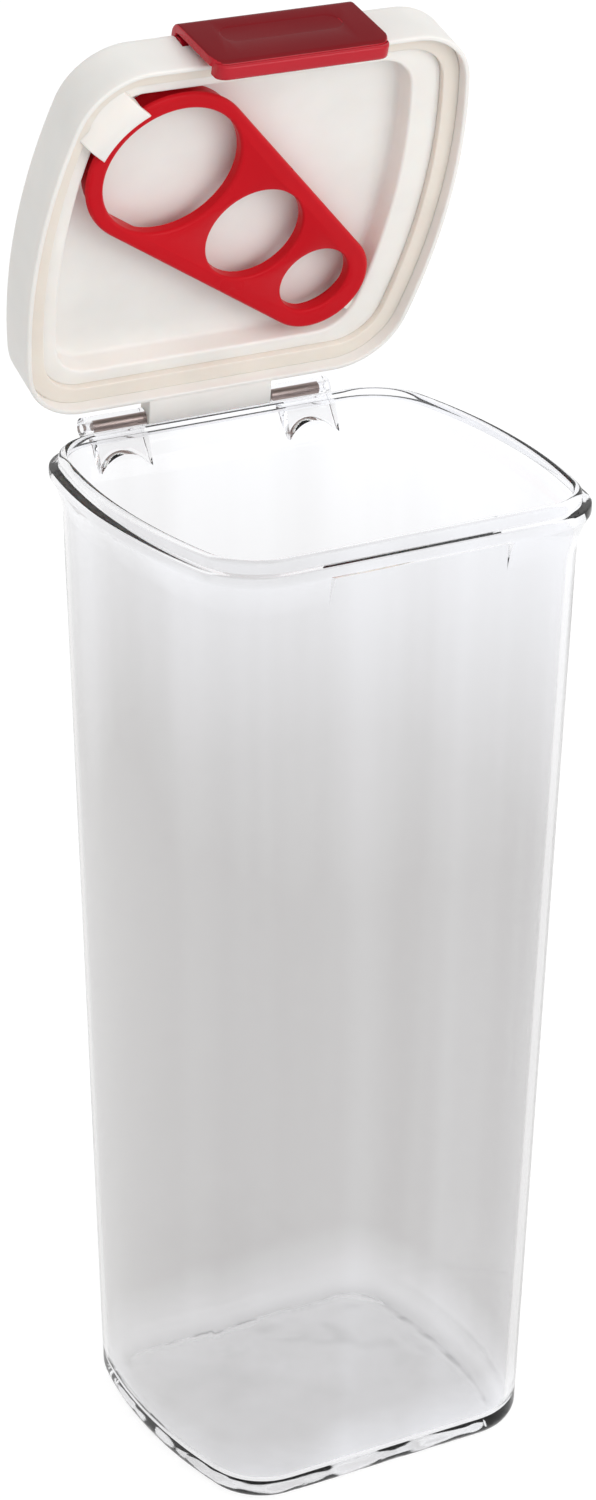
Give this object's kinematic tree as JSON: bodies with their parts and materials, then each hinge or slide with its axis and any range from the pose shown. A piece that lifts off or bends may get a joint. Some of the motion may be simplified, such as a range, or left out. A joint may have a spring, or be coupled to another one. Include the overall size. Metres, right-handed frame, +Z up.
{
  "type": "hinged-lid pasta storage container",
  "caption": "Tall clear container with a flared collar, a hinged lid on steel pins, a front snap latch, a sealing ring and a portion measure held inside the lid.",
  "frame": {"origin": "on the table under the middle of the container's base", "axes": "+Z up, -Y the front with the latch, +Y the back with the hinge, X across"},
  "size_m": [0.1214, 0.1245, 0.3851],
  "materials": {
    "clear_plastic": "clear rigid plastic, polished",
    "pin_steel": "bright drawn wire",
    "lid_plastic": "cream, satin",
    "liner_plastic": "cream, satin",
    "seal_rubber": "soft, matt",
    "latch_plastic": "deep red, glossy",
    "measure_plastic": "red, satin"
  },
  "bodies": {
    "base": {"container": "clear_plastic"},
    "lid": {"lid_shell": "lid_plastic", "lid_liner": "liner_plastic", "lid_gasket": "seal_rubber", "hinge_pin_left": "pin_steel", "hinge_pin_right": "pin_steel", "latch_pin": "pin_steel"},
    "latch": {"latch": "latch_plastic"},
    "measure": {"pasta_measure": "measure_plastic"}
  },
  "joints": [
    {"name": "lid_hinge", "type": "hinge", "parent": "base", "child": "lid", "pos_m": [0, 0.06, 0.272], "axis": [-1, 0, 0], "range_deg": [-68, 37]},
    {"name": "latch_flip", "type": "hinge", "parent": "lid", "child": "latch", "pos_m": [0, 0.02932, 0.37889], "axis": [-1, 0, 0], "range_deg": [-7.5, 75]},
    {"name": "measure_tilt", "type": "hinge", "parent": "lid", "child": "measure", "pos_m": [-0.03899, 0.02789, 0.36029], "axis": [-0.6543, 0.2833, -0.7011], "range_deg": [0, 22]}
  ]
}
